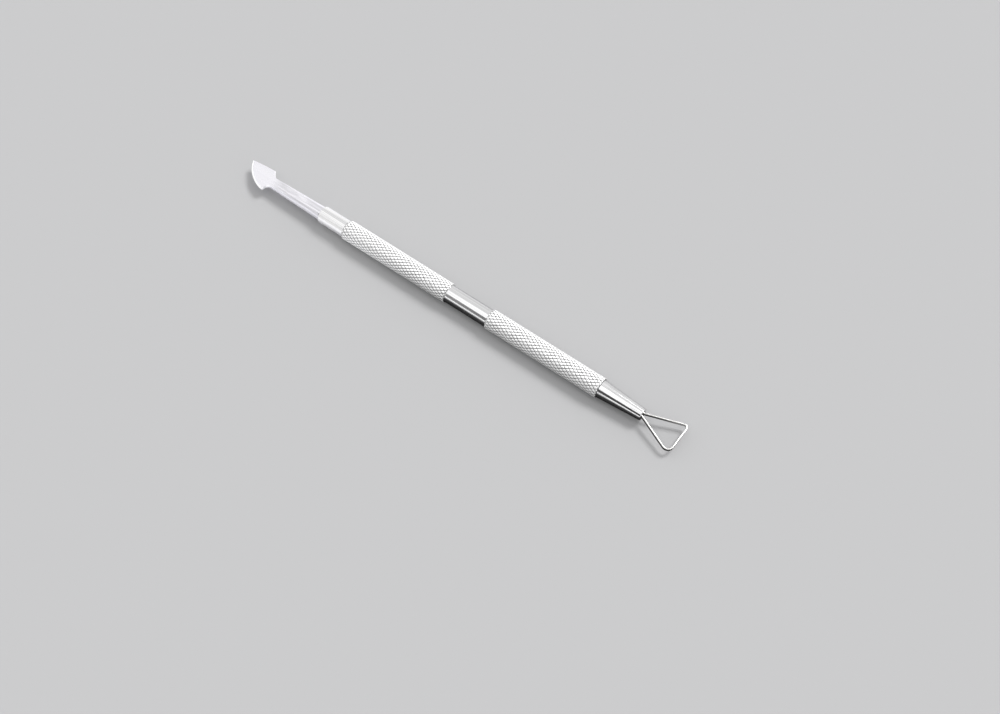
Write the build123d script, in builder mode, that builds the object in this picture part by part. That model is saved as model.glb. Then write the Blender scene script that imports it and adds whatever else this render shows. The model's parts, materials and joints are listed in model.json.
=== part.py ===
from build123d import *
import math
import os

# Double-ended cuticle pusher: a hatchet blade in front and a triangle scraper loop behind.
# Millimetres. X runs along the tool from the blade's tip (-X) to the loop (+X), +Z is up.
# The origin is under the middle of the tool, on the surface that its grips lie on.

os.makedirs("parts", exist_ok=True)

# Lengths along the tool, from the blade's tip backwards
blade_length = 9.5
shank_length = 15.9
collar_length = 7.9
grip_length = 31.7
waist_length = 12.0
nose_length = 11.4
loop_length = 9.9

# Handle tube: two grips at the knurl's crest diameter and a plain waist between them
grip_diameter = 5.1
grip_chamfer = 0.15
tube_wall = 0.6

# How far each plain stretch lies below the one beside it, on the radius
waist_step = 0.25
collar_step = 0.35
nose_step = 0.25
shank_step = 0.4

# Front collar, and the spigots that seat in the tube
collar_chamfer = 0.12
spigot_length = 5.0
spigot_wall = 0.53
spigot_clearance = 0.02
spigot_chamfer = 0.25

# Rear nose
nose_tip_diameter = 3.0
nose_tip_chamfer = 0.12
leg_clearance = 0.07
leg_end_gap = 0.5

# Shank with two forged flats, and the tang behind it
neck_width = 2.9
root_overlap = 1.5
root_sink = 0.05
flat_runout = 2.5
tang_overrun = 1.0
tang_chamfer = 0.25
braze_gap = 0.15

# Blade outline: heights are from the tool's axis, setbacks from the neck
blade_thickness = 0.8
bevel = 0.25
tip_height = 2.5
heel_setback = 2.5
heel_height = 3.15
heel_round = 0.2
spine_rise = 0.1
beard_setback = 1.5
beard_drop = 3.35
beard_round = 0.3
cutting_rise = 1.2
notch_rise = 0.35

# Scraper loop, a thin strip standing on edge
strip_thickness = 0.4
strip_height = 0.8
strip_round = 0.1
loop_width = 8.2
leg_spacing = 0.84
leg_depth = 4.0
mouth_bend_radius = 0.8
near_corner_radius = 1.3
far_corner_radius = 0.7
loop_droop = 4.5

# Places along the tool
overall_length = sum(
    [
        blade_length,
        shank_length,
        collar_length,
        2 * grip_length,
        waist_length,
        nose_length,
        loop_length,
    ]
)
tip_x = -overall_length / 2
neck_x = tip_x + blade_length
step_x = neck_x + shank_length
front_grip_x = step_x + collar_length
waist_x = front_grip_x + grip_length
rear_grip_x = waist_x + waist_length
nose_x = rear_grip_x + grip_length
mouth_x = nose_x + nose_length
loop_end_x = mouth_x + loop_length

# The tool's axis, and the two planes that hold it. In both, the first coordinate is X.
grip_radius = grip_diameter / 2
tool_axis = Axis((0, 0, grip_radius), (1, 0, 0))
side_plane = Plane(origin=(0, 0, grip_radius), x_dir=(1, 0, 0), z_dir=(0, -1, 0))
blade_plane = Plane.XY.offset(grip_radius)

# Radii from the grips inwards
waist_radius = grip_radius - waist_step
collar_radius = grip_radius - collar_step
nose_root_radius = grip_radius - nose_step
nose_tip_radius = nose_tip_diameter / 2
shank_radius = collar_radius - shank_step
neck_radius = neck_width / 2
tube_bore_radius = waist_radius - tube_wall
spigot_radius = tube_bore_radius - spigot_clearance
tang_bore_radius = spigot_radius - spigot_wall
tang_radius = tang_bore_radius - braze_gap
collar_end_x = front_grip_x + spigot_length

# The nose's bore clears the corners of the loop's legs, which droop across its axis
leg_rise = leg_depth / 2 * math.tan(math.radians(loop_droop))
leg_reach = (leg_spacing + strip_thickness) / 2
nose_bore_radius = math.hypot(leg_reach, strip_height / 2 + leg_rise) + leg_clearance
nose_bore_x = mouth_x - leg_depth - leg_end_gap


# Shank and tang: a turned taper with a forged flat above and below
shank_slope = (shank_radius - neck_radius) / shank_length
root_x = neck_x - root_overlap
root_radius = neck_radius - root_overlap * shank_slope
runout_x = step_x - flat_runout
runout_radius = shank_radius - flat_runout * shank_slope
flat_root = blade_thickness / 2 - root_sink
tang_end_x = collar_end_x + tang_overrun

with BuildPart() as shank:
    with BuildSketch(side_plane):
        with BuildLine():
            Polyline(
                (root_x, 0),
                (root_x, root_radius),
                (step_x, shank_radius),
                (step_x, tang_radius),
                (tang_end_x - tang_chamfer, tang_radius),
                (tang_end_x, tang_radius - tang_chamfer),
                (tang_end_x, 0),
                close=True,
            )
        make_face()
    revolve(axis=tool_axis)
    # Each flat starts at the blade's face and runs out on the round shank
    for side in (1, -1):
        with BuildSketch(side_plane):
            with BuildLine():
                Polyline(
                    (root_x, side * flat_root),
                    (runout_x, side * runout_radius),
                    (runout_x, side * grip_radius),
                    (root_x, side * grip_radius),
                    close=True,
                )
            make_face()
        extrude(amount=grip_radius, both=True, mode=Mode.SUBTRACT)


# Blade: a flat plate with a bevel along its curved cutting edge, in one piece with the shank
blade_face = blade_thickness / 2

with BuildPart() as pusher_blade:
    with BuildSketch(blade_plane):
        with BuildLine():
            tip = (tip_x, tip_height)
            beard = (neck_x - beard_setback, -beard_drop)
            heel = (neck_x - heel_setback, heel_height)
            cutting_edge = SagittaArc(tip, beard, -cutting_rise)
            SagittaArc(beard, (neck_x, -neck_radius), notch_rise)
            Line((neck_x, -neck_radius), (neck_x, neck_radius))
            SagittaArc((neck_x, neck_radius), heel, notch_rise)
            SagittaArc(heel, tip, -spine_rise)
        make_face()
        fillet(vertices().sort_by(Axis.Y)[0], beard_round)
        fillet(vertices().sort_by(Axis.Y)[-1], heel_round)
    extrude(amount=blade_face, both=True)
    # The bevel is part of a cone about the centre of the cutting edge's arc
    edge_centre = cutting_edge.edge().arc_center
    edge_radius = cutting_edge.edge().radius
    bevel_plane = Plane(
        origin=(edge_centre.X, edge_centre.Y, grip_radius), x_dir=(1, 0, 0), z_dir=(0, -1, 0)
    )
    for side in (1, -1):
        with BuildSketch(bevel_plane):
            with BuildLine():
                Polyline(
                    (edge_radius - bevel, side * blade_face),
                    (edge_radius + bevel, side * (blade_face - 2 * bevel)),
                    (edge_radius + bevel, side * blade_face),
                    close=True,
                )
            make_face()
        revolve(axis=Axis(bevel_plane.origin, (0, 0, 1)), mode=Mode.SUBTRACT)
    add(shank.part)
pusher_blade.part.label = "pusher_blade"
export_step(pusher_blade.part, "parts/pusher_blade.step")


# Front collar: a turned bush that the tang is brazed into, with a spigot into the tube
with BuildPart() as front_collar:
    with BuildSketch(side_plane):
        with BuildLine():
            Polyline(
                (step_x, tang_bore_radius),
                (step_x, collar_radius - collar_chamfer),
                (step_x + collar_chamfer, collar_radius),
                (front_grip_x, collar_radius),
                (front_grip_x, spigot_radius),
                (collar_end_x - spigot_chamfer, spigot_radius),
                (collar_end_x, spigot_radius - spigot_chamfer),
                (collar_end_x, tang_bore_radius),
                close=True,
            )
        make_face()
    revolve(axis=tool_axis)
front_collar.part.label = "front_collar"
export_step(front_collar.part, "parts/front_collar.step")


# Braze round the tang: a sleeve that fills the gap in the collar's bore
with BuildPart() as tang_braze:
    with BuildSketch(side_plane):
        with BuildLine():
            Polyline(
                (step_x, tang_radius),
                (step_x, tang_bore_radius),
                (collar_end_x, tang_bore_radius),
                (collar_end_x, tang_radius),
                close=True,
            )
        make_face()
    revolve(axis=tool_axis)
tang_braze.part.label = "tang_braze"
export_step(tang_braze.part, "parts/tang_braze.step")


# Handle tube: front grip, waist and rear grip in one tube
grip_edge_radius = grip_radius - grip_chamfer

with BuildPart() as handle_tube:
    with BuildSketch(side_plane):
        with BuildLine():
            Polyline(
                (front_grip_x, tube_bore_radius),
                (front_grip_x, grip_edge_radius),
                (front_grip_x + grip_chamfer, grip_radius),
                (waist_x - grip_chamfer, grip_radius),
                (waist_x, grip_edge_radius),
                (waist_x, waist_radius),
                (rear_grip_x, waist_radius),
                (rear_grip_x, grip_edge_radius),
                (rear_grip_x + grip_chamfer, grip_radius),
                (nose_x - grip_chamfer, grip_radius),
                (nose_x, grip_edge_radius),
                (nose_x, tube_bore_radius),
                close=True,
            )
        make_face()
    revolve(axis=tool_axis)
handle_tube.part.label = "handle_tube"
export_step(handle_tube.part, "parts/handle_tube.step")


# Rear nose: a turned taper with a spigot into the tube and a blind bore for the loop's legs
nose_spigot_x = nose_x - spigot_length

with BuildPart() as rear_nose:
    with BuildSketch(side_plane):
        with BuildLine():
            Polyline(
                (nose_spigot_x, 0),
                (nose_spigot_x, spigot_radius - spigot_chamfer),
                (nose_spigot_x + spigot_chamfer, spigot_radius),
                (nose_x, spigot_radius),
                (nose_x, nose_root_radius),
                (mouth_x - nose_tip_chamfer, nose_tip_radius),
                (mouth_x, nose_tip_radius - nose_tip_chamfer),
                (mouth_x, nose_bore_radius),
                (nose_bore_x, nose_bore_radius),
                (nose_bore_x, 0),
                close=True,
            )
        make_face()
    revolve(axis=tool_axis)
rear_nose.part.label = "rear_nose"
export_step(rear_nose.part, "parts/rear_nose.step")


# Scraper loop: one strip, bent to a triangle in a plane that droops towards its far end.
# The plane crosses the tool's axis halfway along the legs, so they stay inside the bore.
droop_cos = math.cos(math.radians(loop_droop))
droop_sin = math.sin(math.radians(loop_droop))
pivot_x = mouth_x - leg_depth / 2
loop_plane = Plane(
    origin=(pivot_x, 0, grip_radius),
    x_dir=(droop_cos, 0, -droop_sin),
    z_dir=(droop_sin, 0, droop_cos),
)
leg_start = -leg_depth / 2
bend_start = leg_depth / 2
leg_offset = leg_spacing / 2
base_reach = (loop_end_x - pivot_x - strip_height / 2 * droop_sin) / droop_cos
base_x = base_reach - strip_thickness / 2


def corner_offset(corner_radius):
    """How far out the leg and the base would meet, for a corner that reaches the loop's width."""
    rise = (loop_width - strip_thickness) / 2 - corner_radius - leg_offset
    run = base_x - bend_start - corner_radius
    span = rise**2 + run**2 - corner_radius**2
    slope = (rise * run + corner_radius * math.sqrt(span)) / (run**2 - corner_radius**2)
    return leg_offset + slope * (base_x - bend_start)


with BuildPart() as scraper_loop:
    with BuildSketch(loop_plane):
        with BuildLine():
            FilletPolyline(
                (leg_start, leg_offset),
                (bend_start, leg_offset),
                (base_x, corner_offset(far_corner_radius)),
                (base_x, -corner_offset(near_corner_radius)),
                (bend_start, -leg_offset),
                (leg_start, -leg_offset),
                radius=[
                    mouth_bend_radius,
                    far_corner_radius,
                    near_corner_radius,
                    mouth_bend_radius,
                ],
            )
        trace(line_width=strip_thickness)
    extrude(amount=strip_height / 2, both=True)
    strip_faces = faces().filter_by(loop_plane)
    fillet(strip_faces.edges(), strip_round)
scraper_loop.part.label = "scraper_loop"
export_step(scraper_loop.part, "parts/scraper_loop.step")


# Braze in the nose: it fills the bore round the loop's legs, flush with the mouth
with BuildPart() as loop_braze:
    with BuildSketch(side_plane):
        with BuildLine():
            Polyline(
                (nose_bore_x, 0),
                (nose_bore_x, nose_bore_radius),
                (mouth_x, nose_bore_radius),
                (mouth_x, 0),
                close=True,
            )
        make_face()
    revolve(axis=tool_axis)
    add(scraper_loop.part, mode=Mode.SUBTRACT)
loop_braze.part.label = "loop_braze"
export_step(loop_braze.part, "parts/loop_braze.step")
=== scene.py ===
import json
import math

import bmesh
import bpy
import numpy as np
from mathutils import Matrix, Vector


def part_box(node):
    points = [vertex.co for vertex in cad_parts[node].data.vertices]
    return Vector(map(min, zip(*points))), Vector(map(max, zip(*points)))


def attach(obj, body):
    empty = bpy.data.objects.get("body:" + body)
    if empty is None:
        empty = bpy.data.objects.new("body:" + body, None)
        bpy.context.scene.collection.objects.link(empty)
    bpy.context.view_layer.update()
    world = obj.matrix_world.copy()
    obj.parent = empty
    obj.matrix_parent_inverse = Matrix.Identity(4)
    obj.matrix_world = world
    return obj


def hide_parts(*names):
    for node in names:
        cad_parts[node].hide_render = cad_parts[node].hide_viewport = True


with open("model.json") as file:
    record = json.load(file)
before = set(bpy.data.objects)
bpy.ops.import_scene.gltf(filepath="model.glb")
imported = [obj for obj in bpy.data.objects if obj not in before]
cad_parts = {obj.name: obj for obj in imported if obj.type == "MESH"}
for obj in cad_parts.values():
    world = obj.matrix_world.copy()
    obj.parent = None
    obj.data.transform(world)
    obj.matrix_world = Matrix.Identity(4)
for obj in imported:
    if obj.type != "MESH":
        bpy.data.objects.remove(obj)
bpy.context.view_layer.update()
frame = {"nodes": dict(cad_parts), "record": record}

# Cuticle pusher: hatchet blade in front, two knurled grips, triangle scraper loop behind.
# X runs along the tool, +Z is up, and the tool's axis stands one grip radius above the floor.

mm = 0.001
sameSpot = 1e-7  # points closer than this, in metres, are one
scene = bpy.context.scene

bladeLow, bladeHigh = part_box("pusher_blade")
collarLow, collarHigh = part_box("front_collar")
tubeLow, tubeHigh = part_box("handle_tube")
noseLow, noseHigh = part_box("rear_nose")
brazeLow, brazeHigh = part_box("loop_braze")
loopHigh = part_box("scraper_loop")[1]
mountAt = {mount["name"]: mount["pos_m"] for mount in frame["record"]["mounts"]}

gripRadius = tubeHigh.y
axisHeight = gripRadius
gripLength = 2 * (mountAt["front_grip"][0] - tubeLow.x)
waistStart = tubeLow.x + gripLength
waistEnd = tubeHigh.x - gripLength
stepX = collarLow.x
mouthX = noseHigh.x
print("frame read: grips of", round(gripLength / mm, 2), "mm")


def sized(piece):
    # lengths in metres; what a piece keeps under "plain" is a count or a share, and stays as it is
    lengths = {key: value * mm for key, value in piece.items() if key != "plain"}
    return {**lengths, **piece.get("plain", {})}


def addNode(tree, kind, inputs=None, **settings):
    made = tree.nodes.new(kind)
    for key, value in settings.items():
        setattr(made, key, value)
    for key, value in (inputs or {}).items():
        if isinstance(value, bpy.types.NodeSocket):
            tree.links.new(value, made.inputs[key])
        else:
            made.inputs[key].default_value = value
    return made


def firstOf(tree, kind, inputs=None, **settings):
    return addNode(tree, kind, inputs, **settings).outputs[0]


def calc(tree, operation, first, second=0.0):
    return firstOf(tree, "ShaderNodeMath", {0: first, 1: second}, operation=operation)


def plus(tree, first, second):
    return calc(tree, "ADD", first, second)


def minus(tree, first, second):
    return calc(tree, "SUBTRACT", first, second)


def times(tree, first, *others):
    for other in others:
        first = calc(tree, "MULTIPLY", first, other)
    return first


def between(tree, value, low, high):
    return firstOf(tree, "ShaderNodeMapRange", {"Value": value, "To Min": low, "To Max": high})


def smoothRamp(tree, value, low, high):
    inputs = {"Value": value, "From Min": low, "From Max": high}
    return firstOf(tree, "ShaderNodeMapRange", inputs, interpolation_type="SMOOTHSTEP")


def noise(tree, place, scale, detail, roughness=0.5, distortion=0.0):
    look = {"Scale": scale, "Detail": detail, "Roughness": roughness, "Distortion": distortion}
    return firstOf(tree, "ShaderNodeTexNoise", {"Vector": place, **look})


def mixColour(tree, factor, first, second):
    # inputs 6 and 7 are the Mix node's two colours, and output 2 the mixed one
    return addNode(tree, "ShaderNodeMix", {0: factor, 6: first, 7: second}, data_type="RGBA").outputs[2]


def placeParts(tree):
    place = addNode(tree, "ShaderNodeTexCoord").outputs["Object"]
    return addNode(tree, "ShaderNodeSeparateXYZ", {0: place}).outputs


def groupTree(name, kind, inputs, outputs):
    # an input is given by its starting value, or by its socket type where it starts empty
    tree = bpy.data.node_groups.new(name, kind)
    for label, start in inputs.items():
        socketType = {float: "NodeSocketFloat", int: "NodeSocketInt"}.get(type(start), start)
        socket = tree.interface.new_socket(name=label, in_out="INPUT", socket_type=socketType)
        if start != socketType:
            socket.default_value = start
    for label, socketType in outputs.items():
        tree.interface.new_socket(name=label, in_out="OUTPUT", socket_type=socketType)
    return tree, tree.nodes.new("NodeGroupInput").outputs, tree.nodes.new("NodeGroupOutput")


def endTree(tree, shape, given, result):
    # a shape's tree ends as plain geometry in its steel
    whole = firstOf(tree, "GeometryNodeRealizeInstances", {0: shape})
    painted = firstOf(tree, "GeometryNodeSetMaterial", {0: whole, "Material": given["Steel"]})
    tree.links.new(painted, result.inputs[0])
    return tree


def linkedObject(name, content):
    made = bpy.data.objects.new(name, content)
    scene.collection.objects.link(made)
    return made


def bakeTree(tree, name, values, startMesh=None):
    holder = linkedObject(name, startMesh or bpy.data.meshes.new(name + " start"))
    modifier = holder.modifiers.new("shape", "NODES")
    modifier.node_group = tree
    for item in tree.interface.items_tree:
        if item.in_out == "INPUT" and item.name in values:
            modifier[item.identifier] = values[item.name]
    return bakeModifiers(holder)


def bakeModifiers(piece):
    # the evaluated result becomes the plain mesh, and the modifiers go
    graph = bpy.context.evaluated_depsgraph_get()
    baked = bpy.data.meshes.new_from_object(piece.evaluated_get(graph))
    piece.modifiers.clear()
    piece.data = baked
    return piece


def softShade(piece, angle):
    piece.data.shade_smooth()
    piece.data.set_sharp_from_angle(angle=math.radians(angle))


def meshPiece(name, work, material, angle=35.0):
    bmesh.ops.remove_doubles(work, verts=work.verts, dist=sameSpot)
    bmesh.ops.recalc_face_normals(work, faces=work.faces)
    mesh = bpy.data.meshes.new(name)
    work.to_mesh(mesh)
    work.free()
    piece = linkedObject(name, mesh)
    piece.data.materials.append(material)
    softShade(piece, angle)
    return piece


def mergeSlivers(piece, distance=0.002 * mm):
    # a cut leaves points that all but touch, and faces with no area between them
    work = bmesh.new()
    work.from_mesh(piece.data)
    bmesh.ops.remove_doubles(work, verts=work.verts, dist=distance)
    bmesh.ops.dissolve_degenerate(work, edges=work.edges, dist=distance)
    work.to_mesh(piece.data)
    work.free()


def finishPiece(piece, slotName, *nodes):
    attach(piece, "root")
    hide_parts(*nodes)
    print(piece.name, "made:", len(piece.data.polygons), "faces")


def addRing(work, x, radius, count):
    ring = []
    for step in range(count):
        turn = 2 * math.pi * step / count
        ring.append(work.verts.new((x, radius * math.cos(turn), axisHeight + radius * math.sin(turn))))
    return ring


def bridge(work, first, second):
    count = len(first)
    for step in range(count):
        after = (step + 1) % count
        work.faces.new((first[step], first[after], second[after], second[step]))


def fan(work, ring, pole):
    count = len(ring)
    for step in range(count):
        work.faces.new((ring[step], ring[(step + 1) % count], pole))


def softCorner(before, corner, after, radius, steps, sideShare=0.45, straight=88.0):
    # points of an arc that rounds a corner; it takes up no more than sideShare of either side,
    # and a corner that opens by more than straight degrees each way stays as it is
    corner = np.array(corner, float)
    toBefore = np.array(before, float) - corner
    toAfter = np.array(after, float) - corner
    lengthBefore = np.linalg.norm(toBefore)
    lengthAfter = np.linalg.norm(toAfter)
    toBefore /= lengthBefore
    toAfter /= lengthAfter
    half = math.acos(max(-1.0, min(1.0, float(toBefore @ toAfter)))) / 2
    if radius <= 0 or half > math.radians(straight):
        return [tuple(corner)]
    cut = min(radius / math.tan(half), sideShare * lengthBefore, sideShare * lengthAfter)
    radius = cut * math.tan(half)
    middle = toBefore + toAfter
    centre = corner + middle / np.linalg.norm(middle) * math.hypot(cut, radius)
    first = corner + toBefore * cut - centre
    last = corner + toAfter * cut - centre
    sweep = math.pi - 2 * half
    points = []
    for step in range(steps + 1):
        share = step / steps
        mix = (math.sin((1 - share) * sweep) * first + math.sin(share * sweep) * last) / math.sin(sweep)
        points.append(tuple(centre + mix))
    return points


def withSupports(outline, inset=0.03 * mm):
    # extra points close to the ends of long straights, so that their shading stays straight
    shortest = 8 * inset
    full = []
    for index, point in enumerate(outline):
        after = outline[(index + 1) % len(outline)]
        full.append(point)
        length = math.dist(point, after)
        if length > shortest:
            for share in (inset / length, 1 - inset / length):
                full.append(tuple(a + (b - a) * share for a, b in zip(point, after)))
    return full


def turned(name, profile, material, count=128, steps=3):
    # profile: x, radius and rounding of each corner, in metres, once round the section
    outline = []
    for index, (x, radius, rounding) in enumerate(profile):
        before = profile[index - 1]
        after = profile[(index + 1) % len(profile)]
        outline += softCorner(before[:2], (x, radius), after[:2], rounding, steps)
    work = bmesh.new()
    rings = []
    for x, radius in withSupports(outline):
        if radius < sameSpot:
            rings.append(work.verts.new((x, 0, axisHeight)))  # a pole on the axis
        else:
            rings.append(addRing(work, x, radius, count))
    for first, second in zip(rings, rings[1:] + rings[:1]):
        if isinstance(first, list) and isinstance(second, list):
            bridge(work, first, second)
        elif isinstance(first, list):
            fan(work, first, second)
        elif isinstance(second, list):
            fan(work, second, first)
    return meshPiece(name, work, material)


def steelLinesGroup():
    # fine polishing lines along the tool, as a shade and a height
    tree, given, result = groupTree(
        "polishing lines",
        "ShaderNodeTree",
        {
            "Line Length": 0.006,
            "Line Spacing": 0.00012,
            "Softness": 0.5,
        },
        {"Shade": "NodeSocketFloat", "Height": "NodeSocketFloat"},
    )
    fineShare = 0.6
    broadScale = 0.31  # the broad lines are about three times as far apart as the fine ones
    along = calc(tree, "DIVIDE", 1.0, given["Line Length"])
    across = calc(tree, "DIVIDE", 1.0, given["Line Spacing"])
    stretch = firstOf(tree, "ShaderNodeCombineXYZ", {0: along, 1: across, 2: across})
    place = addNode(tree, "ShaderNodeTexCoord").outputs["Object"]
    scaled = firstOf(tree, "ShaderNodeVectorMath", {0: place, 1: stretch}, operation="MULTIPLY")
    fine = noise(tree, scaled, 1.0, detail=3.0, roughness=0.6)
    broad = noise(tree, scaled, broadScale, detail=1.0)
    height = plus(tree, times(tree, fine, fineShare), times(tree, broad, 1 - fineShare))
    low = times(tree, given["Softness"], 0.5)
    tree.links.new(smoothRamp(tree, height, low, minus(tree, 1.0, low)), result.inputs["Shade"])
    tree.links.new(height, result.inputs["Height"])
    return tree


def handlingMarksGroup():
    # cloudy finger marks and a few hairline scratches that run across the lines
    tree, given, result = groupTree(
        "handling marks",
        "ShaderNodeTree",
        {
            "Cloud Size": 0.004,
            "Scratch Size": 0.0009,
            "Scratch Share": 0.03,
        },
        {"Cloud": "NodeSocketFloat", "Scratch": "NodeSocketFloat"},
    )
    place = addNode(tree, "ShaderNodeTexCoord").outputs["Object"]
    cloudScale = calc(tree, "DIVIDE", 1.0, given["Cloud Size"])
    cloud = noise(tree, place, cloudScale, detail=4.0, distortion=0.6)
    slanted = firstOf(
        tree, "ShaderNodeMapping", {"Vector": place, "Rotation": (0.5, 0.35, 0.9), "Scale": (1.0, 9.0, 1.0)}
    )
    scratchScale = calc(tree, "DIVIDE", 1.0, given["Scratch Size"])
    vein = noise(tree, slanted, scratchScale, detail=0.0, distortion=0.1)
    offLine = calc(tree, "ABSOLUTE", minus(tree, vein, 0.5))
    scratch = firstOf(
        tree,
        "ShaderNodeMapRange",
        {"Value": offLine, "From Min": 0.0, "From Max": given["Scratch Share"], "To Min": 1.0, "To Max": 0.0},
    )
    tree.links.new(cloud, result.inputs["Cloud"])
    tree.links.new(scratch, result.inputs["Scratch"])
    return tree


def grooveGroup():
    # 1 at the bottom of the knurl's grooves, 0 on its crests, from the distance to the tool's axis
    tree, given, result = groupTree(
        "groove depth",
        "ShaderNodeTree",
        {
            "Axis Height": 0.0025,
            "Crest Radius": 0.0025,
            "Depth": 0.0002,
            "Line Start": 0.25,
            "Line Full": 0.7,
        },
        {"Groove": "NodeSocketFloat"},
    )
    place = placeParts(tree)
    up = minus(tree, place["Z"], given["Axis Height"])
    square = plus(tree, calc(tree, "POWER", place["Y"], 2.0), calc(tree, "POWER", up, 2.0))
    below = minus(tree, given["Crest Radius"], calc(tree, "SQRT", square))
    depth = calc(tree, "DIVIDE", below, given["Depth"])
    tree.links.new(smoothRamp(tree, depth, given["Line Start"], given["Line Full"]), result.inputs["Groove"])
    return tree


linesGroup = steelLinesGroup()
marksGroup = handlingMarksGroup()
depthGroup = grooveGroup()


def placeGroup(tree, group, values):
    return addNode(tree, "ShaderNodeGroup", values, node_tree=group).outputs


def newMaterial(name):
    material = bpy.data.materials.new(name)
    material.use_nodes = True
    return material, material.node_tree, material.node_tree.nodes["Principled BSDF"]


def gripMask(tree, margin):
    # 1 over the two knurled grips, 0 over the waist
    x = placeParts(tree)["X"]
    beforeWaist = calc(tree, "LESS_THAN", x, waistStart - margin)
    return plus(tree, beforeWaist, calc(tree, "GREATER_THAN", x, waistEnd + margin))


def steel(name, finish):
    # one stainless steel finish; every value that differs is in the finish's dictionary
    material, tree, shader = newMaterial(name)
    shader.inputs["Metallic"].default_value = 1.0
    lines = placeGroup(
        tree,
        linesGroup,
        {
            "Line Length": finish["lineLength"] * mm,
            "Line Spacing": finish["lineSpacing"] * mm,
            "Softness": finish["lineSoftness"],
        },
    )
    marks = placeGroup(
        tree,
        marksGroup,
        {
            "Cloud Size": finish["cloudSize"] * mm,
            "Scratch Size": finish["scratchSize"] * mm,
            "Scratch Share": finish["scratchShare"],
        },
    )
    shade = lines["Shade"]
    if "face" in finish:
        # the flat face is satin, and the lines grow stronger behind it
        face = finish["face"]
        behind = smoothRamp(tree, placeParts(tree)["X"], face["from"] * mm, face["to"] * mm)
        strength = between(tree, behind, face["lineShare"], 1.0)
        shade = minus(tree, 1.0, times(tree, minus(tree, 1.0, shade), strength))
    colour = mixColour(tree, shade, finish["lineColour"], finish["colour"])
    cloudAmount = between(tree, marks["Cloud"], 0.0, finish["cloudAmount"])
    colour = mixColour(tree, cloudAmount, colour, finish["cloudColour"])
    rough = between(tree, shade, finish["rough"] + finish["lineRough"], finish["rough"])
    rough = plus(tree, rough, between(tree, marks["Cloud"], 0.0, finish["cloudRough"]))
    rough = plus(tree, rough, between(tree, marks["Scratch"], 0.0, finish["scratchRough"]))
    height = minus(tree, lines["Height"], times(tree, marks["Scratch"], finish["scratchDepth"]))
    if "groove" in finish:
        cut = finish["groove"]
        groove = placeGroup(
            tree,
            depthGroup,
            {
                "Axis Height": axisHeight,
                "Crest Radius": gripRadius,
                "Depth": cut["depth"] * mm,
                "Line Start": cut["lineStart"],
                "Line Full": cut["lineFull"],
            },
        )
        onGrip = gripMask(tree, cut["waistMargin"] * mm)
        # the groove bottoms are painted near-black: painted shade in the knurl's grooves
        paintedGrooveShade = times(tree, groove["Groove"], onGrip, cut["paintedShade"])
        colour = mixColour(tree, onGrip, colour, cut["gripColour"])
        colour = mixColour(tree, paintedGrooveShade, colour, cut["colour"])
        rough = plus(tree, rough, times(tree, onGrip, cut["addRough"]))
        rough = plus(tree, rough, times(tree, paintedGrooveShade, cut["darkRough"]))
        # the cut diamonds are so fine that they scatter light as well as mirror it
        tree.links.new(between(tree, onGrip, 1.0, cut["gripMetal"]), shader.inputs["Metallic"])
    # the bevels are painted brighter than the face: a painted highlight along the cutting edge and the spine
    if "rim" in finish:
        rim = addNode(tree, "ShaderNodeAttribute", attribute_name="rim").outputs["Fac"]
        colour = mixColour(tree, rim, colour, finish["rim"]["colour"])
        rough = firstOf(tree, "ShaderNodeMix", {0: rim, 2: rough, 3: finish["rim"]["rough"]})
    bump = firstOf(
        tree,
        "ShaderNodeBump",
        {"Strength": finish["bump"], "Distance": finish["bumpDepth"] * mm, "Height": height},
    )
    tree.links.new(colour, shader.inputs["Base Color"])
    tree.links.new(rough, shader.inputs["Roughness"])
    tree.links.new(bump, shader.inputs["Normal"])
    return material


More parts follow.
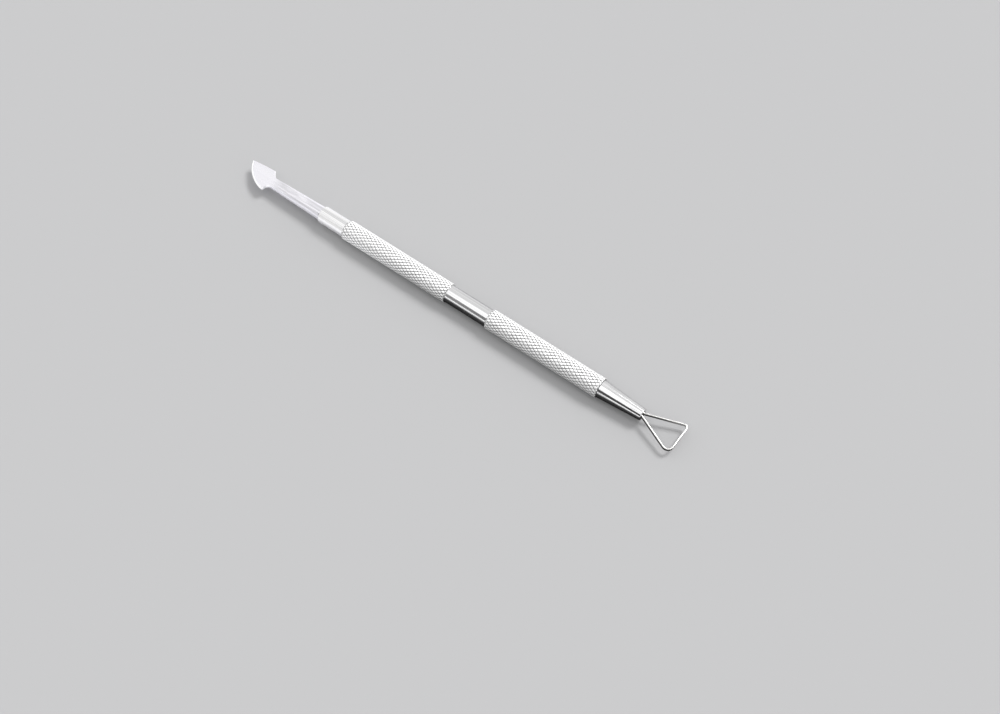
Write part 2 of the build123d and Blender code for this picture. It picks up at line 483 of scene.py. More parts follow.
# lengths, spacings and places in mm
polished = {
    "colour": (0.82, 0.82, 0.825, 1),
    "lineColour": (0.60, 0.60, 0.61, 1),
    "cloudColour": (0.72, 0.71, 0.70, 1),
    "cloudAmount": 0.3,
    "rough": 0.10,
    "lineRough": 0.10,
    "cloudRough": 0.05,
    "scratchRough": 0.08,
    "lineLength": 26.0,
    "lineSpacing": 0.17,
    "lineSoftness": 0.6,
    "cloudSize": 4.0,
    "scratchSize": 0.9,
    "scratchShare": 0.005,
    "scratchDepth": 0.15,
    "bump": 0.30,
    "bumpDepth": 0.004,
}
finishes = {
    "satin blade steel": {
        **polished,
        "colour": (0.83, 0.82, 0.865, 1),
        "lineColour": (0.54, 0.535, 0.57, 1),
        "rough": 0.20,
        "lineLength": 45.0,
        "lineSpacing": 0.34,
        "lineSoftness": 0.72,
        "bump": 0.4,
        "face": {"from": -57.0, "to": -52.5, "lineShare": 0.08},
        # the rim colour is a painted highlight on the bevels
        "rim": {"colour": (0.95, 0.95, 0.955, 1), "rough": 0.3},
    },
    "polished collar steel": {
        **polished,
        "colour": (0.90, 0.90, 0.90, 1),
        "lineSpacing": 0.34,
        "lineSoftness": 0.7,
    },
    "polished nose steel": {
        **polished,
        "rough": 0.07,
        "lineSpacing": 0.26,
        "lineSoftness": 0.8,
        "cloudSize": 3.0,
    },
    "knurled grip steel": {
        **polished,
        "groove": {
            "depth": 0.15,
            "lineStart": 0.26,
            "lineFull": 0.68,
            "waistMargin": 0.02,
            # darkness and colour paint the groove bottoms near-black: painted shade in the knurl's grooves
            "paintedShade": 0.88,
            "colour": (0.03, 0.03, 0.031, 1),
            "gripColour": (0.95, 0.95, 0.95, 1),
            "gripMetal": 0.55,
            "addRough": 0.13,
            "darkRough": 0.2,
        },
    },
    "bright strip steel": {
        **polished,
        "colour": (0.56, 0.555, 0.55, 1),
        "lineColour": (0.42, 0.415, 0.41, 1),
        "rough": 0.15,
        "lineLength": 1.2,
        "lineSpacing": 0.05,
        "cloudSize": 1.2,
    },
    "silver braze": {
        **polished,
        "colour": (0.50, 0.49, 0.47, 1),
        "lineColour": (0.42, 0.41, 0.39, 1),
        "cloudColour": (0.30, 0.28, 0.26, 1),
        "cloudAmount": 0.8,
        "rough": 0.42,
        "cloudSize": 0.35,
        "lineLength": 0.3,
        "lineSpacing": 0.15,
        "bump": 0.8,
        "bumpDepth": 0.02,
    },
}
steels = {name: steel(name, finish) for name, finish in finishes.items()}
print("finishes made:", len(steels))


# the two knurled grips and the waist between them are one tube
handle = {
    "grooveDepth": 0.15,
    "edgeChamfer": 0.15,
    "waistStep": 0.25,
    "waistEdge": 0.05,
    "boreRadius": 1.70,
    "plain": {
        "ridgesRound": 18,
        "ridgesAlong": 21,
        "stepsAcross": 8,
        "grooveLand": 0.375,
        "flankPower": 3.0,
        "waistSupport": 1.5,  # in waist edges
    },
}


def knurlTree():
    # a crossing of two grooves on a tile of 1 by 1, repeated round and along, then wrapped on the grip
    tree, given, result = groupTree(
        "grip knurl",
        "GeometryNodeTree",
        {
            "Ridges Round": 18,
            "Ridges Along": 21,
            "Half Steps": 4,
            "Start": 0.0,
            "Grip Length": 0.03,
            "Crest Radius": 0.0025,
            "Axis Height": 0.0025,
            "Groove Depth": 0.0002,
            "Groove Land": 0.375,
            "Flank Power": 2.0,
            "Edge Chamfer": 0.00015,
            "Steel": "NodeSocketMaterial",
        },
        {"Geometry": "NodeSocketGeometry"},
    )
    tileMerge, wrapMerge = 0.001, 1e-6  # in tiles, and in metres
    roundCount, alongCount, crest = given["Ridges Round"], given["Ridges Along"], given["Crest Radius"]
    sideCount = plus(tree, given["Half Steps"], 1.0)
    quarter = firstOf(
        tree,
        "GeometryNodeMeshGrid",
        {"Size X": 0.5, "Size Y": 0.5, "Vertices X": sideCount, "Vertices Y": sideCount},
    )
    corner = firstOf(tree, "GeometryNodeTransform", {"Geometry": quarter, "Translation": (0.25, 0.25, 0)})
    cut = firstOf(tree, "GeometryNodeTriangulate", {0: corner}, quad_method="FIXED")
    tile = addNode(tree, "GeometryNodeJoinGeometry")
    tree.links.new(cut, tile.inputs[0])
    for mirror in ((-1, 1, 1), (1, -1, 1), (-1, -1, 1)):
        copy = firstOf(tree, "GeometryNodeTransform", {"Geometry": cut, "Scale": mirror})
        tree.links.new(copy, tile.inputs[0])
    oneTile = firstOf(tree, "GeometryNodeMergeByDistance", {0: tile.outputs[0], "Distance": tileMerge})
    lastRound, lastAlong = minus(tree, roundCount, 1.0), minus(tree, alongCount, 1.0)
    crossings = firstOf(
        tree,
        "GeometryNodeMeshGrid",
        {"Size X": lastRound, "Size Y": lastAlong, "Vertices X": roundCount, "Vertices Y": alongCount},
    )
    shiftRound, shiftAlong = times(tree, lastRound, 0.5), times(tree, alongCount, 0.5)
    shift = firstOf(tree, "ShaderNodeCombineXYZ", {0: shiftRound, 1: shiftAlong})
    laid = firstOf(tree, "GeometryNodeTransform", {"Geometry": crossings, "Translation": shift})
    copies = firstOf(tree, "GeometryNodeInstanceOnPoints", {"Points": laid, "Instance": oneTile})
    real = firstOf(tree, "GeometryNodeRealizeInstances", {0: copies})
    sheet = firstOf(tree, "GeometryNodeMergeByDistance", {0: real, "Distance": tileMerge})

    # on the flat sheet X counts ridges round and Y ridges along
    flat = firstOf(tree, "GeometryNodeInputPosition")
    place = addNode(tree, "ShaderNodeSeparateXYZ", {0: flat}).outputs
    around, along = place["X"], place["Y"]
    fromCrossing = minus(tree, along, 0.5)
    rising = calc(tree, "PINGPONG", plus(tree, around, fromCrossing), 0.5)
    falling = calc(tree, "PINGPONG", minus(tree, around, fromCrossing), 0.5)
    toGroove = calc(tree, "MINIMUM", rising, falling)
    share = calc(tree, "MINIMUM", calc(tree, "DIVIDE", toGroove, given["Groove Land"]), 1.0)
    depthShare = calc(tree, "POWER", minus(tree, 1.0, share), given["Flank Power"])
    cutRadius = minus(tree, crest, times(tree, depthShare, given["Groove Depth"]))
    pitch = calc(tree, "DIVIDE", given["Grip Length"], alongCount)
    fromEnd = calc(tree, "MINIMUM", along, minus(tree, alongCount, along))
    chamferFoot = minus(tree, crest, given["Edge Chamfer"])
    cone = plus(tree, chamferFoot, times(tree, fromEnd, pitch))
    radius = calc(tree, "MINIMUM", cutRadius, cone)
    turn = calc(tree, "DIVIDE", times(tree, around, 2 * math.pi), roundCount)
    x = plus(tree, given["Start"], times(tree, along, pitch))
    y = times(tree, radius, calc(tree, "COSINE", turn))
    z = plus(tree, given["Axis Height"], times(tree, radius, calc(tree, "SINE", turn)))
    wrapped = firstOf(tree, "ShaderNodeCombineXYZ", {0: x, 1: y, 2: z})
    rolled = firstOf(tree, "GeometryNodeSetPosition", {"Geometry": sheet, "Position": wrapped})
    closed = firstOf(tree, "GeometryNodeMergeByDistance", {0: rolled, "Distance": wrapMerge})
    return endTree(tree, closed, given, result)


def endRing(work, x, digits=5):
    # the knurl's open end at that place, in order round the axis; rounding puts a full turn with none
    full = 2 * math.pi

    def turnOf(vert):
        turn = math.atan2(vert.co.z - axisHeight, vert.co.y) % full
        return round(turn, digits) % round(full, digits)

    return sorted((vert for vert in work.verts if abs(vert.co.x - x) < sameSpot), key=turnOf)


def makeHandle():
    size = sized(handle)
    material = steels["knurled grip steel"]
    tree = knurlTree()
    work = bmesh.new()
    for name, start in (("front knurl", tubeLow.x), ("rear knurl", waistEnd)):
        knurl = bakeTree(
            tree,
            name,
            {
                "Ridges Round": size["ridgesRound"],
                "Ridges Along": size["ridgesAlong"],
                "Half Steps": size["stepsAcross"] // 2,
                "Start": start,
                "Grip Length": gripLength,
                "Crest Radius": gripRadius,
                "Axis Height": axisHeight,
                "Groove Depth": size["grooveDepth"],
                "Groove Land": size["grooveLand"],
                "Flank Power": size["flankPower"],
                "Edge Chamfer": size["edgeChamfer"],
                "Steel": material,
            },
        )
        work.from_mesh(knurl.data)
        bpy.data.objects.remove(knurl)
    ends = [endRing(work, x) for x in (tubeLow.x, waistStart, waistEnd, tubeHigh.x)]
    count = size["ridgesRound"] * size["stepsAcross"]
    print("knurl ends:", *(len(end) for end in ends), "of", count)
    frontStart, frontEnd, rearStart, rearEnd = ends
    radius = gripRadius - size["waistStep"]
    soft = size["waistEdge"]
    support = size["waistSupport"] * soft
    shoulder = [(0, soft), (soft, 0), (support, 0)]  # away from the grip, and above the waist
    waist = [(waistStart + away, radius + above) for away, above in shoulder]
    waist += [(waistEnd - away, radius + above) for away, above in shoulder[::-1]]
    bore = [(tubeHigh.x, size["boreRadius"]), (tubeLow.x, size["boreRadius"])]
    for start, rings, end in ((frontEnd, waist, rearStart), (rearEnd, bore, frontStart)):
        chain = [start, *(addRing(work, *ring, count) for ring in rings), end]
        for first, second in zip(chain, chain[1:]):
            bridge(work, first, second)
    piece = meshPiece("knurledHandle", work, material, angle=50.0)
    finishPiece(piece, "knurled_steel", "handle_tube")


makeHandle()


collar = {
    "edgeChamfer": 0.12,
    "spigotRadius": 1.68,
    "spigotChamfer": 0.25,
    "boreRadius": 1.15,
    "softness": 0.04,
}


def makeCollar():
    size = sized(collar)
    chamfer, spigot, soft = size["edgeChamfer"], size["spigotRadius"], size["softness"]
    radius = collarHigh.y
    piece = turned(
        "frontCollar",
        [
            (stepX, size["boreRadius"], 0),
            (stepX, radius - chamfer, soft),
            (stepX + chamfer, radius, soft),
            (tubeLow.x, radius, soft),
            (tubeLow.x, spigot, 0),
            (collarHigh.x - size["spigotChamfer"], spigot, soft),
            (collarHigh.x, spigot - size["spigotChamfer"], soft),
            (collarHigh.x, size["boreRadius"], 0),
        ],
        steels["polished collar steel"],
    )
    finishPiece(piece, "polished_steel", "front_collar")


makeCollar()


nose = {
    "tipRadius": 1.5,
    "tipRound": 0.14,
    "spigotRadius": 1.68,
    "spigotChamfer": 0.25,
    "softness": 0.04,
}


def makeNose():
    size = sized(nose)
    spigot, chamfer, soft = size["spigotRadius"], size["spigotChamfer"], size["softness"]
    boreRadius = brazeHigh.y
    piece = turned(
        "rearNose",
        [
            (noseLow.x, 0, 0),
            (noseLow.x, spigot - chamfer, soft),
            (noseLow.x + chamfer, spigot, soft),
            (tubeHigh.x, spigot, 0),
            (tubeHigh.x, noseHigh.y, soft),
            (mouthX, size["tipRadius"], size["tipRound"]),
            (mouthX, boreRadius, soft),
            (brazeLow.x, boreRadius, 0),
            (brazeLow.x, 0, 0),
        ],
        steels["polished nose steel"],
        steps=5,
    )
    finishPiece(piece, "polished_steel", "rear_nose")


makeNose()


# The blade and its shank are ground from one bar. Heights are from the tool's axis, setbacks from the neck.
blade = {
    "length": 9.5,
    "tipHeight": 2.5,
    "tipRound": 0.12,
    "heelSetback": 2.5,
    "heelHeight": 3.15,
    "heelRound": 0.2,
    "spineRise": 0.1,
    "beardSetback": 1.5,
    "beardDrop": 3.35,
    "beardRound": 0.3,
    "cuttingRise": 1.2,
    "notchRise": 0.35,
    "plateHalf": 0.40,
    "plateHollow": 0.05,
    "hollowWidth": 1.5,
    "edgeHalf": 0.11,
    "cuttingRim": 0.36,
    "spineRim": 0.16,
    "beardRim": 0.144,
    "beardLead": 0.8,  # the cutting bevel starts to narrow this far ahead of the beard
    "beardEnd": 0.1,  # and has narrowed to beardRim here
    "neckRadius": 1.45,
    "neckBlend": 0.5,
    "shankRadius": 1.8,
    "rootOverlap": 1.5,
    "flatRoot": 0.35,
    "flatRunout": 2.5,
    "tangRadius": 1.0,
    "tangChamfer": 0.25,
    "stepSoftness": 0.06,
    "frontInset": 0.02,
    "plain": {
        "leastFlat": 0.15,  # of the radius
        "hollowPower": 0.7,
        "cornerClear": 1.6,  # how far from a corner its rounding starts, in radii
        "frontPower": 1.6,  # above 1, sections stand closer together towards the tip
        "arcMiddle": 0.3,  # how far a quarter turn's middle lies inside its corner, in radii
        "rimSteps": 12,
        "plateSteps": 18,
        "notchSteps": 24,
        "cuttingSteps": 60,
        "spineSteps": 40,
        "cornerSteps": 8,
        "frontSteps": 130,
        "shankSteps": 46,
        "halvings": 30,
    },
}


def arcThrough(start, end, rise, steps):
    # points of an arc that stands out from its chord by rise, to the left of the way along it
    start, end = np.array(start), np.array(end)
    chord = end - start
    length = np.linalg.norm(chord)
    left = np.array((-chord[1], chord[0])) / length
    radius = (length * length / 4 + rise * rise) / (2 * rise)
    centre = (start + end) / 2 + left * (rise - radius)
    first = math.atan2(*(start - centre)[::-1])
    sweep = math.atan2(*(end - centre)[::-1]) - first
    sweep = (sweep + math.pi) % (2 * math.pi) - math.pi
    points = []
    for step in range(steps + 1):
        turn = first + sweep * step / steps
        points.append(tuple(centre + abs(radius) * np.array((math.cos(turn), math.sin(turn)))))
    return points, centre, abs(radius)


def roundedJoin(size, first, second, radius):
    # rounds the corner where one line of points ends and the next begins
    corner = np.array(first[-1])
    clear = size["cornerClear"] * radius
    before = [point for point in first if np.linalg.norm(np.array(point) - corner) > clear]
    after = [point for point in second if np.linalg.norm(np.array(point) - corner) > clear]
    return before + softCorner(before[-1], tuple(corner), after[0], radius, size["cornerSteps"]) + after


def bladeOutline(size, neckX):
    # the plate's lower and upper line from its foremost point back to the neck, and the cutting arc
    tip = (bladeLow.x, size["tipHeight"])
    heel = (neckX - size["heelSetback"], size["heelHeight"])
    beard = (neckX - size["beardSetback"], -size["beardDrop"])
    lowNeck, highNeck = (neckX, -size["neckRadius"]), (neckX, size["neckRadius"])
    lowNotch, _, _ = arcThrough(lowNeck, beard, -size["notchRise"], size["notchSteps"])
    cutting, centre, radius = arcThrough(beard, tip, size["cuttingRise"], size["cuttingSteps"])
    spine, _, _ = arcThrough(tip, heel, size["spineRise"], size["spineSteps"])
    highNotch, _, _ = arcThrough(heel, highNeck, -size["notchRise"], size["notchSteps"])
    chain = roundedJoin(size, lowNotch, cutting, size["beardRound"])
    chain = roundedJoin(size, chain, spine, size["tipRound"])
    chain = np.array(roundedJoin(size, chain, highNotch, size["heelRound"]))
    foremost = int(chain[:, 0].argmin())
    return chain[: foremost + 1][::-1], chain[foremost:], centre, radius


def smooth(value, low, high):
    share = min(max((value - low) / (high - low), 0.0), 1.0)
    return share * share * (3 - 2 * share)


def circleHalf(size, radius, flat):
    # the upper half of a round section with a flat on top: rim, flat and rim again
    lowTurn = math.asin(min(size["edgeHalf"] / radius, 1.0))
    flatEdge = math.sqrt(max(radius**2 - flat**2, 0.0))
    flatEdge = max(flatEdge, size["leastFlat"] * radius)
    highTurn = math.acos(flatEdge / radius)
    points = []
    for step in range(size["rimSteps"] + 1):
        turn = lowTurn + (highTurn - lowTurn) * step / size["rimSteps"]
        points.append((-radius * math.cos(turn), radius * math.sin(turn)))
    middle = []
    for step in range(1, size["plateSteps"]):
        y = flatEdge * (2 * step / size["plateSteps"] - 1)
        middle.append((y, min(flat, math.sqrt(radius**2 - y**2))))
    return points + middle + [(-y, z) for y, z in reversed(points)]


def plateHalf(size, low, high, lowRim, highRim):
    # the upper half of the blade's plate: bevel, hollow-ground face and the spine's narrow bevel
    top, edge = size["plateHalf"], size["edgeHalf"]
    hollowDepth = size["plateHollow"] * min(1.0, (highRim - lowRim) / size["hollowWidth"])
    rimShares = [step / size["rimSteps"] for step in range(size["rimSteps"] + 1)]
    points = [(low + (lowRim - low) * share, edge + (top - edge) * share) for share in rimShares]
    for step in range(1, size["plateSteps"]):
        share = (1 - math.cos(math.pi * step / size["plateSteps"])) / 2
        hollow = hollowDepth * math.sin(math.pi * share) ** size["hollowPower"]
        points.append((lowRim + (highRim - lowRim) * share, top - hollow))
    return points + [(highRim + (high - highRim) * share, top + (edge - top) * share) for share in rimShares]


def tipRidge(size, x, low, high, centre, cuttingRadius):
    # towards the tip the two bevels meet on a ridge, found by halving; with it, how far up they get
    below, above = low, high
    for _ in range(size["halvings"]):
        ridge = (below + above) / 2
        fromCut = (cuttingRadius - math.hypot(x - centre[0], ridge - centre[1])) / size["cuttingRim"]
        fromSpine = (high - ridge) / size["spineRim"]
        below, above = (ridge, above) if fromCut < fromSpine else (below, ridge)
    return ridge, min(max(fromSpine, 0.0), 1.0)


def plateSections(size, neckX, shankHalf):
    # half sections from the tip to the neck, turning into the shank's towards the neck
    lowLine, highLine, centre, cuttingRadius = bladeOutline(size, neckX)
    rimRadius = cuttingRadius - size["cuttingRim"]
    beardX = neckX - size["beardSetback"]
    blendX = neckX - size["rootOverlap"] - size["neckBlend"]
    frontX = lowLine[0][0]
    sections = []
    for step in range(size["frontSteps"] + 1):
        share = (step / size["frontSteps"]) ** size["frontPower"]
        x = frontX + size["frontInset"] + (neckX - frontX) * share
        if x >= neckX:
            break
        low = float(np.interp(x, lowLine[:, 0], lowLine[:, 1]))
        high = float(np.interp(x, highLine[:, 0], highLine[:, 1]))
        inside = rimRadius**2 - (x - centre[0]) ** 2
        cutRim = centre[1] - math.sqrt(inside) if inside > 0 else high
        narrow = low + size["beardRim"]
        narrowing = smooth(x, beardX - size["beardLead"], beardX - size["beardEnd"])
        lowRim = narrow + (max(cutRim, narrow) - narrow) * (1 - narrowing)
        highRim = high - size["spineRim"]
        reach = 1.0
        if lowRim > highRim:
            ridge, reach = tipRidge(size, x, low, high, centre, cuttingRadius)
            lowRim = highRim = ridge
        plate = plateHalf(size, low, high, lowRim, highRim)
        plate = [(y, size["edgeHalf"] + (z - size["edgeHalf"]) * reach) for y, z in plate]
        weight = smooth(x, blendX, neckX)
        if weight > 0:
            plate = np.array(plate)
            plate = plate + (np.array(shankHalf(x)) - plate) * weight
        sections.append((x, plate))
    return sections


def bladeSections(size, neckX):
    # half sections of the whole bar: plate, shank, the step at the collar and the tang
    rootX = neckX - size["rootOverlap"]
    slope = (size["shankRadius"] - size["neckRadius"]) / (stepX - neckX)
    runoutX = stepX - size["flatRunout"]
    runoutRadius = size["shankRadius"] - size["flatRunout"] * slope
    flatSlope = (runoutRadius - size["flatRoot"]) / (runoutX - rootX)

    def shankHalf(x):
        radius = size["neckRadius"] + (x - neckX) * slope
        flat = size["flatRoot"] + (x - rootX) * flatSlope
        return circleHalf(size, radius, flat)

    sections = plateSections(size, neckX, shankHalf)
    soft = size["stepSoftness"]
    for step in range(size["shankSteps"] + 1):
        x = neckX + (stepX - soft - neckX) * step / size["shankSteps"]
        sections.append((x, shankHalf(x)))
    arcMiddle = size["arcMiddle"] * soft
    for radius, x in (
        (size["shankRadius"] - arcMiddle, stepX - arcMiddle),
        (size["shankRadius"] - soft, stepX),
        (size["tangRadius"], stepX),
        (size["tangRadius"], bladeHigh.x - size["tangChamfer"]),
        (size["tangRadius"] - size["tangChamfer"], bladeHigh.x),
    ):
        sections.append((x, circleHalf(size, radius, radius)))
    return sections


def makeBlade():
    size = sized(blade)
    neckX = bladeLow.x + size["length"]
    work = bmesh.new()
    rimLayer = work.verts.layers.float.new("rim")  # 1 along the bevels, 0 elsewhere
    rings = []
    for x, half in bladeSections(size, neckX):
        upper = [work.verts.new((x, y, axisHeight + z)) for y, z in half]
        lower = [work.verts.new((x, y, axisHeight - z)) for y, z in half[::-1]]
        last = len(half) - 1
        onPlate = 1 - smooth(x, neckX - size["rootOverlap"], neckX + size["neckBlend"])
        for index in range(last + 1):
            if min(index, last - index) < size["rimSteps"]:
                upper[index][rimLayer] = lower[last - index][rimLayer] = onPlate
        rings.append(upper + lower)
    for first, second in zip(rings, rings[1:]):
        bridge(work, first, second)
    work.faces.new(rings[0])
    work.faces.new(rings[-1])
    piece = meshPiece("bladeAndShank", work, steels["satin blade steel"], angle=24.0)
    finishPiece(piece, "satin_steel", "pusher_blade")


makeBlade()


loop = {
    "stripThickness": 0.4,
    "stripHeight": 0.8,
    "stripRound": 0.1,
    "legSpacing": 0.84,
    "legDepth": 4.0,
    "mouthBend": 0.8,
    "nearCorner": 1.3,
    "farCorner": 0.7,
    "plain": {"droop": 4.5, "cornerSteps": 14, "roundSteps": 4},  # droop in degrees
}


def stripTree():
    # a strip on edge that follows the bent line, swung down about the pivot
    tree, given, result = groupTree(
        "scraper strip",
        "GeometryNodeTree",
        {
            "Line": "NodeSocketGeometry",
            "Corner Steps": 12,
            "Thickness": 0.0004,
            "Height": 0.0008,
            "Edge Round": 0.0001,
            "Round Steps": 4,
            "Droop": 0.0,
            "Pivot": "NodeSocketVector",
            "Steel": "NodeSocketMaterial",
        },
        {"Geometry": "NodeSocketGeometry"},
    )
    bend = firstOf(tree, "GeometryNodeInputNamedAttribute", {"Name": "bendRadius"}, data_type="FLOAT")
    line = firstOf(tree, "GeometryNodeMeshToCurve", {0: given["Line"]})
    bent = firstOf(
        tree,
        "GeometryNodeFilletCurve",
        {"Curve": line, "Count": given["Corner Steps"], "Radius": bend, "Limit Radius": True},
        mode="POLY",
    )
    level = firstOf(tree, "GeometryNodeSetCurveNormal", {"Curve": bent}, mode="Z_UP")
    section = firstOf(
        tree,
        "GeometryNodeCurvePrimitiveQuadrilateral",
        {"Width": given["Thickness"], "Height": given["Height"]},
        mode="RECTANGLE",
    )
    softSection = firstOf(
        tree,
        "GeometryNodeFilletCurve",
        {"Curve": section, "Count": given["Round Steps"], "Radius": given["Edge Round"]},
        mode="POLY",
    )
    strip = firstOf(
        tree, "GeometryNodeCurveToMesh", {"Curve": level, "Profile Curve": softSection, "Fill Caps": True}
    )
    turn = firstOf(tree, "ShaderNodeCombineXYZ", {1: given["Droop"]})
    swing = {"Geometry": strip, "Translation": given["Pivot"], "Rotation": turn}
    swung = firstOf(tree, "GeometryNodeTransform", swing)
    return endTree(tree, swung, given, result)


def makeLoop():
    size = sized(loop)
    droop = math.radians(size["droop"])
    pivotX = mouthX - size["legDepth"] / 2
    legOffset = size["legSpacing"] / 2
    reach = (loopHigh.x - pivotX - size["stripHeight"] / 2 * math.sin(droop)) / math.cos(droop)
    baseX = reach - size["stripThickness"] / 2
    legEnd = size["legDepth"] / 2

    def cornerOffset(cornerRadius):
        # how far out leg and base meet, for a corner that reaches the loop's width
        rise = loopHigh.y - size["stripThickness"] / 2 - cornerRadius - legOffset
        run = baseX - legEnd - cornerRadius
        span = rise**2 + run**2 - cornerRadius**2
        slope = (rise * run + cornerRadius * math.sqrt(span)) / (run**2 - cornerRadius**2)
        return legOffset + slope * (baseX - legEnd)

    # x, y and bend radius, from one leg's hidden end round to the other's
    points = [
        (-legEnd, legOffset, 0),
        (legEnd, legOffset, size["mouthBend"]),
        (baseX, cornerOffset(size["farCorner"]), size["farCorner"]),
        (baseX, -cornerOffset(size["nearCorner"]), size["nearCorner"]),
        (legEnd, -legOffset, size["mouthBend"]),
        (-legEnd, -legOffset, 0),
    ]
    line = bpy.data.meshes.new("loop line")
    edges = [(index, index + 1) for index in range(len(points) - 1)]
    line.from_pydata([(x, y, 0) for x, y, _ in points], edges, [])
    bends = line.attributes.new("bendRadius", "FLOAT", "POINT")
    bends.data.foreach_set("value", [radius for _, _, radius in points])
    piece = bakeTree(
        stripTree(),
        "scraperLoop",
        {
            "Corner Steps": size["cornerSteps"],
            "Thickness": size["stripThickness"],
            "Height": size["stripHeight"],
            "Edge Round": size["stripRound"],
            "Round Steps": size["roundSteps"],
            "Droop": droop,
            "Pivot": (pivotX, 0, axisHeight),
            "Steel": steels["bright strip steel"],
        },
        line,
    )
    softShade(piece, 30.0)
    finishPiece(piece, "strip_steel", "scraper_loop")
    return piece


# the braze is a plug in the nose's bore, dished and slightly rough in front
filling = {
    "dish": 0.07,
    "roughness": 0.012,
    "clearance": 0.01,
    "plain": {
        "rings": 9,
        "round": 72,
        "dishPower": 4,
        "waves": ((3, 5), (7, -11)),  # swells round the face, and how far they lag towards its edge
        "waveShare": 0.5,
        "rimFade": 4,  # the roughness fades out over the last quarter of the way to the rim
    },
}


def makeBraze(loopPiece):
    size = sized(filling)
    boreRadius = brazeHigh.y - size["clearance"]
    count = size["round"]
    work = bmesh.new()
    back = work.verts.new((brazeLow.x, 0, axisHeight))
    rim = addRing(work, brazeLow.x, boreRadius, count)
    rings = []
    for step in range(size["rings"]):
        share = 1 - step / size["rings"]
        depth = size["dish"] * (1 - share ** size["dishPower"])
        ring = addRing(work, mouthX - depth, boreRadius * share, count)
        for index, vert in enumerate(ring):
            turn = 2 * math.pi * index / count
            wave = sum(math.sin(swells * turn + lag * share) for swells, lag in size["waves"])
            fade = min(1.0, size["rimFade"] * (1 - share))
            vert.co.x -= size["roughness"] * (1 + size["waveShare"] * wave) * fade
        rings.append(ring)
    front = work.verts.new((mouthX - size["dish"] - size["roughness"], 0, axisHeight))
    for first, second in zip([rim] + rings, rings):
        bridge(work, first, second)
    fan(work, rings[-1], front)
    fan(work, rim, back)
    piece = meshPiece("loopBraze", work, steels["silver braze"], angle=50.0)
    # the legs are cut out of it
    cutter = piece.modifiers.new("legs", "BOOLEAN")
    cutter.operation = "DIFFERENCE"
    cutter.solver = "EXACT"
    cutter.object = loopPiece
    bakeModifiers(piece)
    mergeSlivers(piece)
    softShade(piece, 50.0)
    finishPiece(piece, "braze", "loop_braze")


makeBraze(makeLoop())

# the braze round the tang stays as the frame has it, in the same alloy
tangBraze = frame["nodes"]["tang_braze"]
tangBraze.data.materials.clear()
tangBraze.data.materials.append(steels["silver braze"])


# The floor's size is in m and the place of its painted dark reflection in mm. Heights and spreads in the tent
# are in degrees, and the ramps run between two values of X or Y on a sphere of radius 1.
studio = {
    "floorSize": 12.0,
    "floorRough": 0.7,
    "floorColour": (0.40, 0.40, 0.405, 1),
    # painted reflections: the floor's colour as the steel mirrors it, pale under the blade and dark in front
    # of the handle
    "paintedPaleReflection": (0.80, 0.80, 0.82, 1),
    "paintedDarkReflection": (0.035, 0.035, 0.035, 1),
    "darkFrom": -34.0,
    "darkTo": -6.0,
    "darkReach": 16.0,
    "darkEdge": 3.0,
    "backdrop": (0.603, 0.605, 0.608, 1),
    "tent": 1.12,
    "overhead": 0.4,
    "topRamp": (0.15, -0.05),
    "farSide": 0.80,
    "farRamp": (-0.05, 0.2),
    "slotLow": 8.5,
    "slotHigh": 42.0,
    "slotLevel": 0.04,
    "slotEdge": 2.5,
    "nearRamp": (-0.15, -0.45),
    "frontRamp": (-0.44, -0.35),
    "rearRamp": (0.16, 0.05),
    "standWay": (0.30, -0.42, 0.85),
    "standSpread": (22.0, 14.0),
    "softLight": 2.2,
    "lightSpread": 22.0,
    "lightFrom": (0.16, 0.52, 0.66),
}


def makeFloor():
    # pale to look at; in the steel's reflections only, it is painted pale under the blade and painted dark in
    # front of the handle, with no card or cloth there
    half = studio["floorSize"] / 2
    corners = [(-half, -half, 0), (half, -half, 0), (half, half, 0), (-half, half, 0)]
    mesh = bpy.data.meshes.new("floor")
    mesh.from_pydata(corners, [], [(0, 1, 2, 3)])
    floor = linkedObject("floor", mesh)
    material, tree, shader = newMaterial("pale floor")
    place = placeParts(tree)
    reach, edge = studio["darkReach"] * mm, studio["darkEdge"] * mm
    behindCollar = smoothRamp(tree, place["X"], studio["darkFrom"] * mm, studio["darkTo"] * mm)
    inFront = smoothRamp(tree, place["Y"], edge, 0.0)
    nearTool = smoothRamp(tree, place["Y"], -reach - edge, -reach + edge)
    # where the painted dark reflection lies, in front of the handle
    paintedDarkMask = times(tree, inFront, nearTool)
    handleSideReflection = mixColour(tree, paintedDarkMask, studio["floorColour"], studio["paintedDarkReflection"])
    paintedReflectionColour = mixColour(tree, behindCollar, studio["paintedPaleReflection"], handleSideReflection)
    mirrored = addNode(tree, "ShaderNodeLightPath").outputs["Is Glossy Ray"]
    colour = mixColour(tree, mirrored, studio["floorColour"], paintedReflectionColour)
    tree.links.new(colour, shader.inputs["Base Color"])
    shader.inputs["Roughness"].default_value = studio["floorRough"]
    shader.inputs["Specular IOR Level"].default_value = 0.0
    mesh.materials.append(material)


def dimmed(tree, level, mask, amount):
    # the level times the amount where the mask is 1
    return times(tree, level, minus(tree, 1.0, times(tree, mask, 1.0 - amount)))


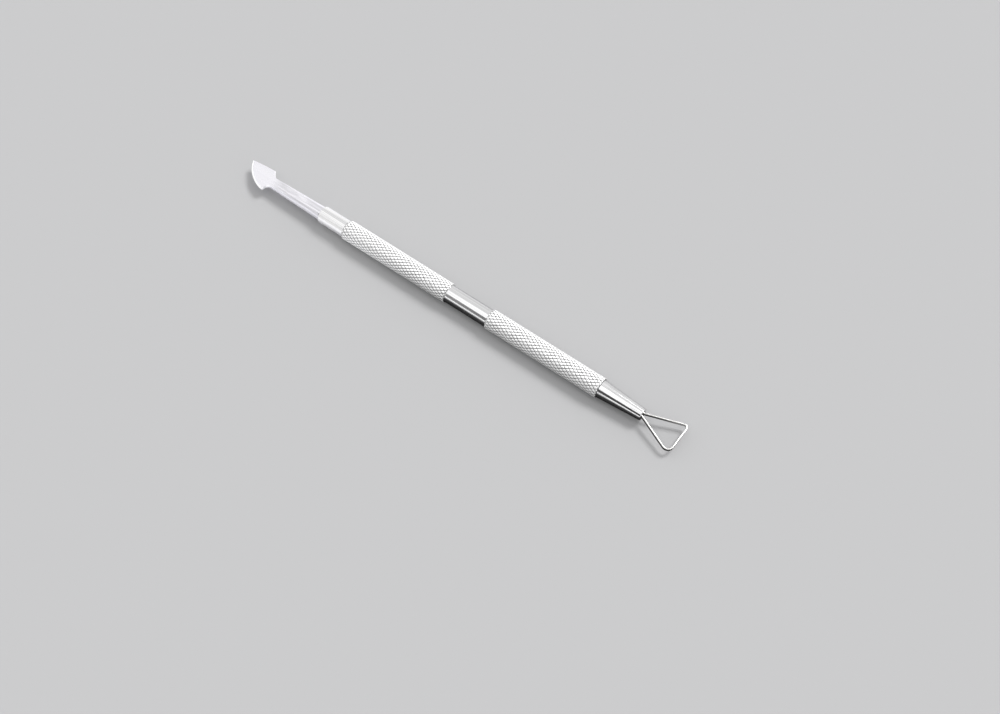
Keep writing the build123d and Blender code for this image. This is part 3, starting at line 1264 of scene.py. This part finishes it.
def makeWorld():
    # a bright tent, brightest overhead and a little darker on the far side;
    # a dark slot low on the near side and a round dark stand above it draw the steel's dark lines
    world = bpy.data.worlds.new("light tent")
    world.use_nodes = True
    scene.world = world
    tree = world.node_tree
    tree.nodes.clear()
    way = addNode(tree, "ShaderNodeTexCoord").outputs["Generated"]
    split = addNode(tree, "ShaderNodeSeparateXYZ", {0: way}).outputs
    notFront = smoothRamp(tree, split["X"], *studio["frontRamp"])
    beside = times(tree, notFront, smoothRamp(tree, split["X"], *studio["rearRamp"]))
    nearSide = smoothRamp(tree, split["Y"], *studio["nearRamp"])
    farSide = times(tree, smoothRamp(tree, split["Y"], *studio["farRamp"]), notFront)
    nearTop = times(tree, smoothRamp(tree, split["Y"], *studio["topRamp"]), beside)

    rise = calc(tree, "DEGREES", calc(tree, "ARCSINE", split["Z"]))
    low, high, edge = studio["slotLow"], studio["slotHigh"], studio["slotEdge"]
    aboveFoot = smoothRamp(tree, rise, low - edge, low + edge)
    belowTop = smoothRamp(tree, rise, high + edge, high - edge)
    slot = times(tree, aboveFoot, belowTop, nearSide, beside)
    # the dot product is the cosine of the angle from the stand's middle
    towards = addNode(tree, "ShaderNodeVectorMath", {0: way, 1: studio["standWay"]}, operation="DOT_PRODUCT")
    apart = calc(tree, "DEGREES", calc(tree, "ARCCOSINE", towards.outputs["Value"]))
    stand = smoothRamp(tree, apart, *studio["standSpread"])

    level = plus(tree, times(tree, nearTop, studio["overhead"]), studio["tent"])
    level = dimmed(tree, level, calc(tree, "MAXIMUM", slot, stand), studio["slotLevel"])
    level = dimmed(tree, level, farSide, studio["farSide"])
    tent = firstOf(tree, "ShaderNodeBackground", {"Color": (1, 1, 1, 1), "Strength": level})
    backdrop = firstOf(tree, "ShaderNodeBackground", {"Color": studio["backdrop"], "Strength": 1.0})
    seen = addNode(tree, "ShaderNodeLightPath").outputs["Is Camera Ray"]
    mixed = firstOf(tree, "ShaderNodeMixShader", {0: seen, 1: tent, 2: backdrop})
    output = tree.nodes.new("ShaderNodeOutputWorld")
    tree.links.new(mixed, output.inputs["Surface"])


def makeSoftLight():
    data = bpy.data.lights.new("soft light", "SUN")
    data.energy = studio["softLight"]
    data.angle = math.radians(studio["lightSpread"])
    light = linkedObject("soft light", data)
    light.location = studio["lightFrom"]
    light.rotation_euler = (-Vector(studio["lightFrom"])).to_track_quat("-Z", "Y").to_euler()


# place and clip distances in mm, turn in degrees
camera = {
    "place": (112.168, -135.795, 260.497),
    "turn": (31.523, -0.572, 36.487),
    "lens": 47.03,
    "sensor": 36.0,
    "nearest": 5.0,
    "farthest": 10000.0,
}


def makeCamera():
    data = bpy.data.cameras.new("camera")
    data.lens = camera["lens"]
    data.sensor_width = camera["sensor"]
    data.clip_start = camera["nearest"] * mm
    data.clip_end = camera["farthest"] * mm
    made = linkedObject("camera", data)
    made.location = [value * mm for value in camera["place"]]
    made.rotation_euler = [math.radians(value) for value in camera["turn"]]
    scene.camera = made


makeFloor()
makeWorld()
makeSoftLight()
makeCamera()
scene.view_settings.view_transform = "Standard"
print("stage set")
